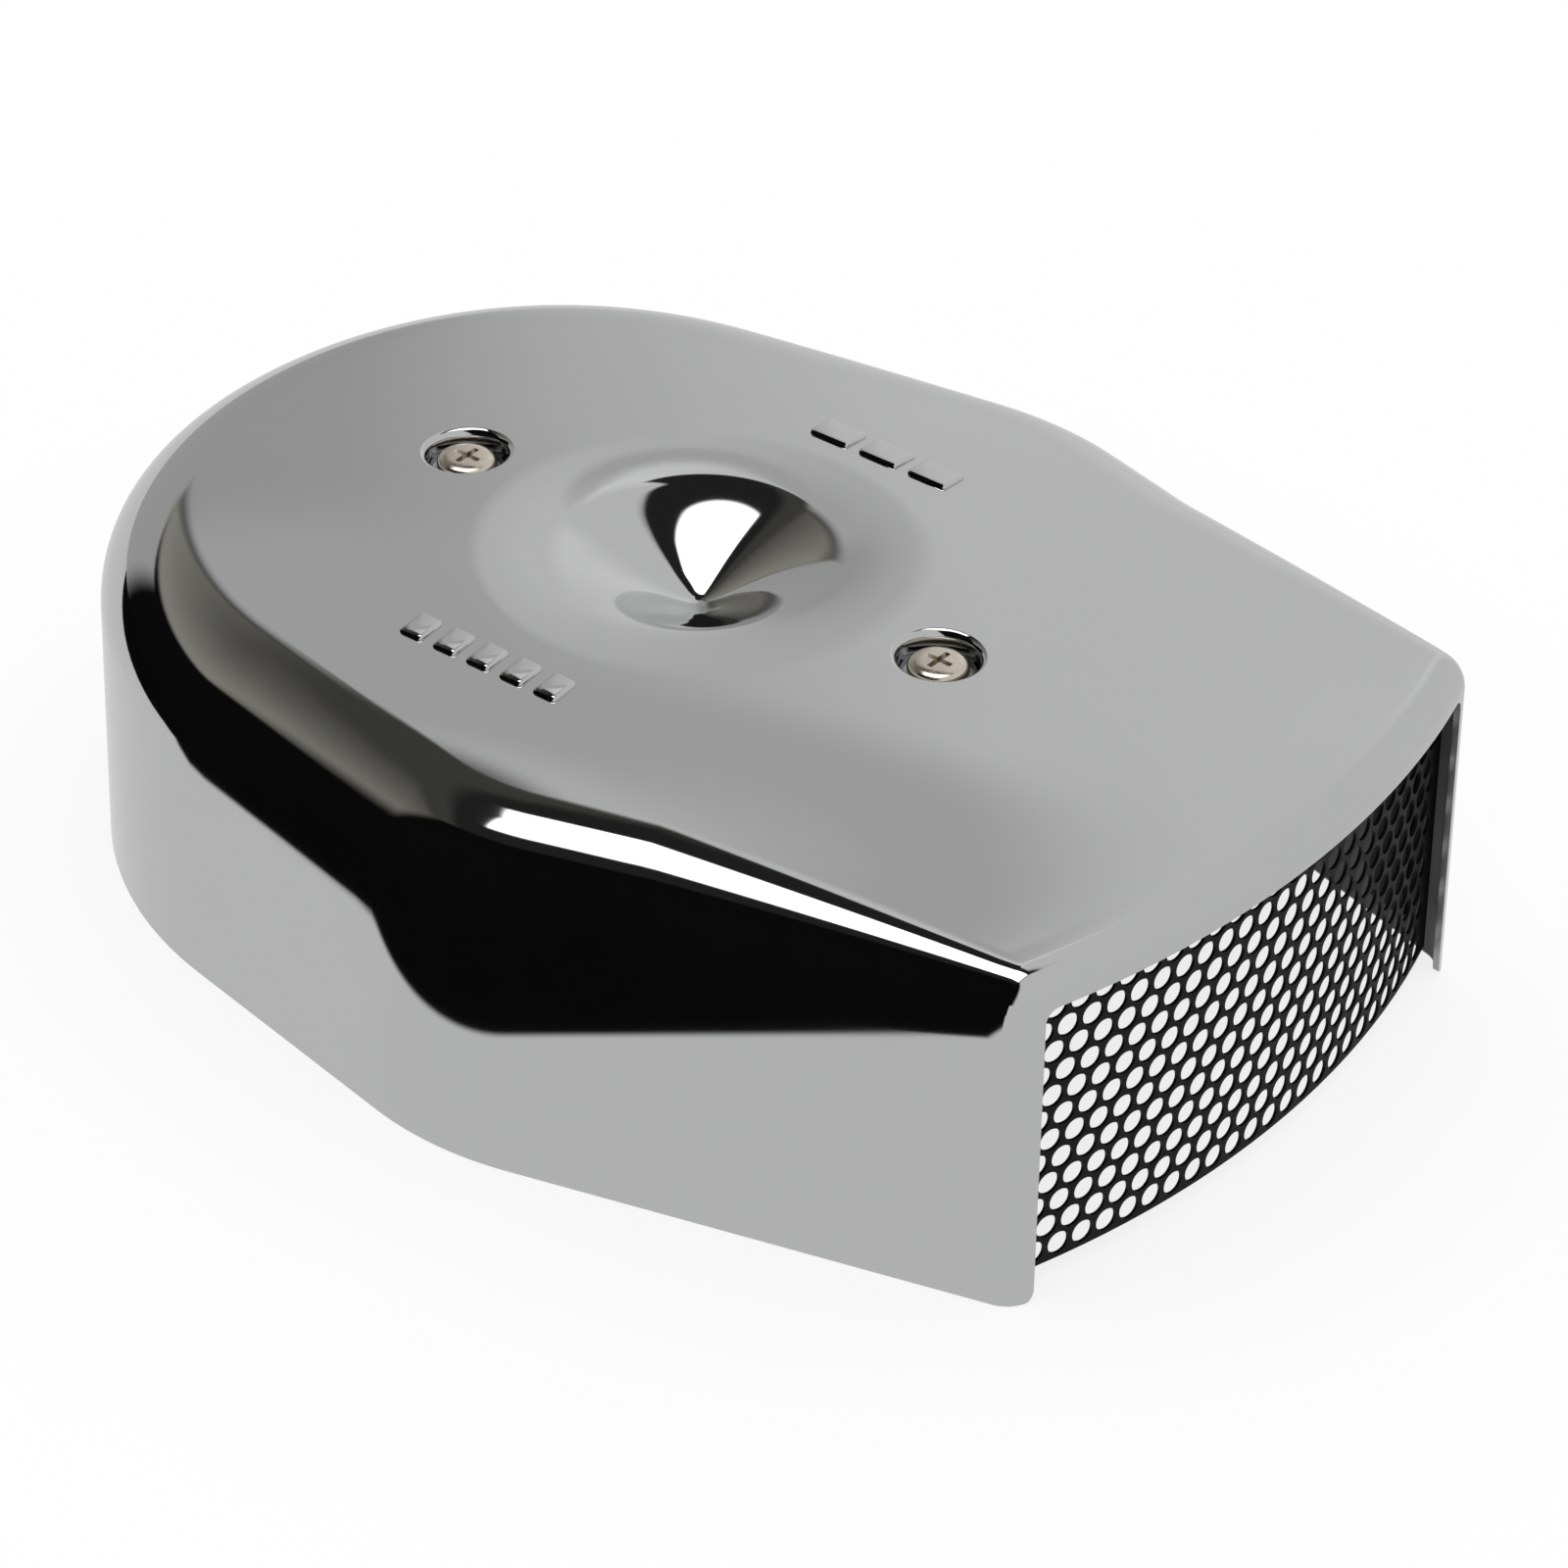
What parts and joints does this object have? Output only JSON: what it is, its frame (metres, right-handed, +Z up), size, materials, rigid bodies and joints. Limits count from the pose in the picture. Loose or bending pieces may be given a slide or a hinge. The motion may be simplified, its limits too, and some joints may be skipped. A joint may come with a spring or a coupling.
{
  "type": "air filter housing",
  "caption": "Chrome stamped air filter housing with a perforated front intake, a round rear end, a round dished centre and a pleated filter ring on a carburettor backplate.",
  "frame": {"origin": "under the middle of the cover's bounding box, on the plane of the cover's rim and of the gasket's lower face", "axes": "+Z up from the carburettor face through the cover's top; +X towards the intake screen; +Y to the left of the air's way in, so that the frame is right-handed"},
  "size_m": [0.2346, 0.1754, 0.0676],
  "materials": {
    "cover_chrome": "polished chrome plate on stamped steel",
    "screen_black": "semi-gloss black paint on perforated steel",
    "screw_nickel": "nickel plate, warm tint, light turning marks",
    "zinc_steel": "zinc plated steel",
    "backplate_aluminium": "satin, as cast and machined",
    "seal_rubber": "matte moulded rubber",
    "pad_rubber": "matte rubber",
    "filter_paper": "pleated filter paper",
    "gauze_steel": "woven wire gauze",
    "gasket_fibre": "pressed fibre"
  },
  "bodies": {
    "backplate_group": {"carburettor_gasket": "gasket_fibre", "backplate": "backplate_aluminium", "air_horn": "backplate_aluminium", "lock_washer_1": "zinc_steel", "lock_washer_2": "zinc_steel", "lock_washer_3": "zinc_steel", "carburettor_screw_1": "zinc_steel", "carburettor_screw_2": "zinc_steel", "carburettor_screw_3": "zinc_steel", "cover_post_front": "backplate_aluminium", "cover_post_rear": "backplate_aluminium", "post_pad_front": "pad_rubber", "post_pad_rear": "pad_rubber"},
    "filter_element": {"filter_seal_lower": "seal_rubber", "filter_seal_upper": "seal_rubber", "filter_media": "filter_paper", "filter_outer_gauze": "gauze_steel", "filter_inner_gauze": "gauze_steel"},
    "cover": {"cover_shell": "cover_chrome", "intake_screen": "screen_black", "screen_strip_top": "screen_black", "screen_strip_left": "screen_black", "screen_strip_right": "screen_black"},
    "front_washer": {"cover_washer_front": "zinc_steel"},
    "front_screw": {"cover_screw_front": "screw_nickel"},
    "rear_washer": {"cover_washer_rear": "zinc_steel"},
    "rear_screw": {"cover_screw_rear": "screw_nickel"}
  },
  "joints": [
    {"name": "cover_lift", "type": "slide", "parent": "backplate_group", "child": "cover", "axis": [0, 0, 1], "range_m": [0, 0.09]},
    {"name": "filter_lift", "type": "slide", "parent": "backplate_group", "child": "filter_element", "axis": [0, 0, 1], "range_m": [0, 0.045]},
    {"name": "front_screw_rise", "type": "slide", "parent": "cover", "child": "front_washer", "axis": [0, 0, 1], "range_m": [0, 0.0127]},
    {"name": "front_screw_turn", "type": "hinge", "parent": "front_washer", "child": "front_screw", "pos_m": [0.0429, 0, 0.06], "axis": [0, 0, 1], "range_deg": [0, 3600]},
    {"name": "rear_screw_rise", "type": "slide", "parent": "cover", "child": "rear_washer", "axis": [0, 0, 1], "range_m": [0, 0.0127]},
    {"name": "rear_screw_turn", "type": "hinge", "parent": "rear_washer", "child": "rear_screw", "pos_m": [-0.0593, 0, 0.06], "axis": [0, 0, 1], "range_deg": [0, 3600]}
  ],
  "couplings": [
    {"joint": "filter_lift", "follows": "cover_lift", "ratio": 0.5},
    {"joint": "front_screw_turn", "follows": "front_screw_rise", "rad_per_m": 4947.4},
    {"joint": "rear_screw_turn", "follows": "rear_screw_rise", "rad_per_m": 4947.4}
  ]
}
